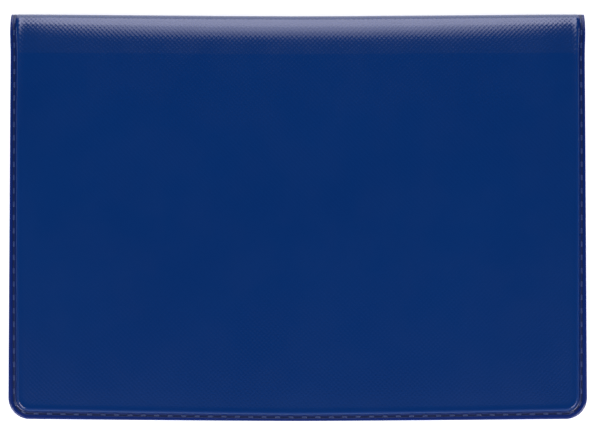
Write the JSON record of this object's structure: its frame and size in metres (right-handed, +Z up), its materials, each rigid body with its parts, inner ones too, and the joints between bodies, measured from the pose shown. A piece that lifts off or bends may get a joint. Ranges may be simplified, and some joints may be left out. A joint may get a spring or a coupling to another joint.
{
  "type": "passport holder",
  "caption": "Folded, padded vinyl cover that holds a passport by its covers in a clear pocket on each side and opens flat about a soft fold.",
  "frame": {"origin": "middle of the underside of the closed holder, where it rests", "axes": "+X along the fold, +Y towards the fold, +Z up from the back cover to the front cover"},
  "size_m": [0.136, 0.096, 0.0068],
  "materials": {
    "cover_vinyl": "satin vinyl with a fine diagonal cross-hatch emboss",
    "seam_vinyl": "pressed, smooth and glossy",
    "lining_vinyl": "satin vinyl with a fine grain",
    "pocket_film": "clear soft vinyl film",
    "foam": "fine closed-cell foam"
  },
  "bodies": {
    "back_cover": {"back_outer_panel": "cover_vinyl", "back_foam_pad": "foam", "back_lining": "lining_vinyl", "back_pocket": "pocket_film", "back_left_seam": "seam_vinyl", "back_right_seam": "seam_vinyl", "back_bottom_seam": "seam_vinyl", "back_stitches": "seam_vinyl"},
    "spine": {"spine_outer": "cover_vinyl", "spine_lining": "lining_vinyl", "spine_left_seam": "seam_vinyl", "spine_right_seam": "seam_vinyl", "spine_stitches": "seam_vinyl"},
    "front_cover": {"front_outer_panel": "cover_vinyl", "front_foam_pad": "foam", "front_lining": "lining_vinyl", "front_pocket": "pocket_film", "front_left_seam": "seam_vinyl", "front_right_seam": "seam_vinyl", "front_bottom_seam": "seam_vinyl", "front_stitches": "seam_vinyl"}
  },
  "joints": [
    {"name": "back_fold", "type": "hinge", "parent": "back_cover", "child": "spine", "pos_m": [0, 0.04713, 0.00087], "axis": [-1, 0, 0], "range_deg": [0, 90]},
    {"name": "front_fold", "type": "hinge", "parent": "spine", "child": "front_cover", "pos_m": [0, 0.04713, 0.00593], "axis": [-1, 0, 0], "range_deg": [0, 90]}
  ],
  "couplings": [
    {"joint": "front_fold", "follows": "back_fold", "ratio": 1}
  ]
}
